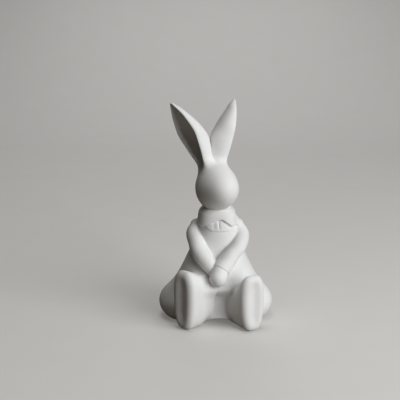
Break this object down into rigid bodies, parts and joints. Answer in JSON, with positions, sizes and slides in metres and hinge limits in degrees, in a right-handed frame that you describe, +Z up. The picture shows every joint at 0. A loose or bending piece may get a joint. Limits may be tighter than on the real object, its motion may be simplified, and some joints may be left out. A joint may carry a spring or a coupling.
{
  "type": "bunny figurine",
  "caption": "Unglazed white porcelain bunny that sits in a smock with its paws together, its big feet apart, its ears up and its head turned.",
  "frame": {"origin": "on the surface that the figurine stands on, below the middle of its bounding box", "axes": "+Z up, -Y the way the bunny's body faces, +X to the bunny's own left, which is the viewer's right in the picture"},
  "size_m": [0.0644, 0.0629, 0.1208],
  "materials": {
    "bisque": "unglazed, matte"
  },
  "bodies": {
    "root": {"dress_body": "bisque", "collar": "bisque", "head": "bisque", "left_ear": "bisque", "right_ear": "bisque", "left_arm": "bisque", "right_arm": "bisque", "left_leg": "bisque", "right_leg": "bisque", "tail": "bisque"}
  },
  "joints": []
}
